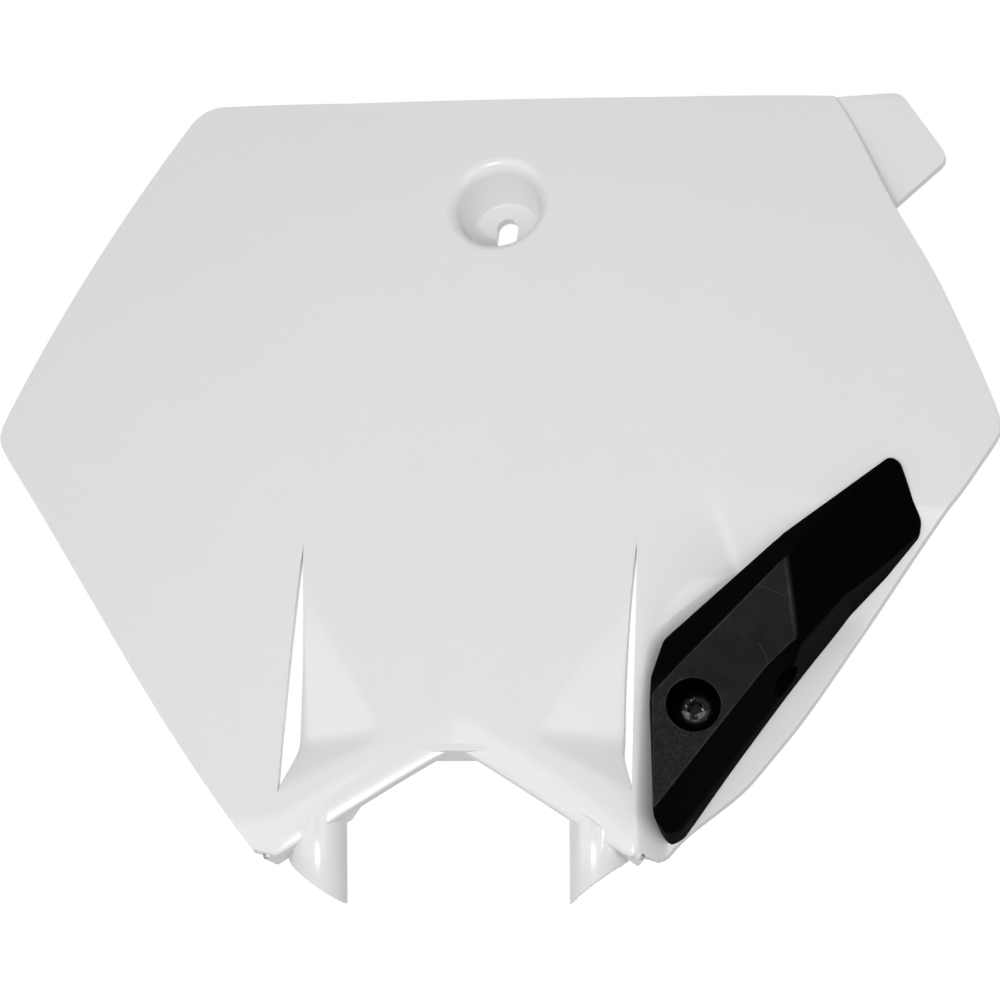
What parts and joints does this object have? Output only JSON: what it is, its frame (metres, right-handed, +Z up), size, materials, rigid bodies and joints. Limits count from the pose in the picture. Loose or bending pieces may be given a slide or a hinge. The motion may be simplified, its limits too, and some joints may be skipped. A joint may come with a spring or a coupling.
{
  "type": "motocross front number plate",
  "caption": "White moulded front number plate for a motocross bike, with a black hose cover held by one screw at its lower corner.",
  "frame": {"origin": "centre of the upper fixing's seat, the flat rear end of the cup that the slotted hole goes through", "axes": "+X to the right seen from the front, +Y rearward, +Z up with the board leaned back as it sits on the bike"},
  "size_m": [0.2978, 0.1008, 0.2335],
  "materials": {
    "white_plastic": "gloss",
    "black_plastic": "matte",
    "black_steel": "satin"
  },
  "bodies": {
    "root": {"board": "white_plastic", "hose_cover": "black_plastic", "cover_screw": "black_steel"}
  },
  "joints": []
}
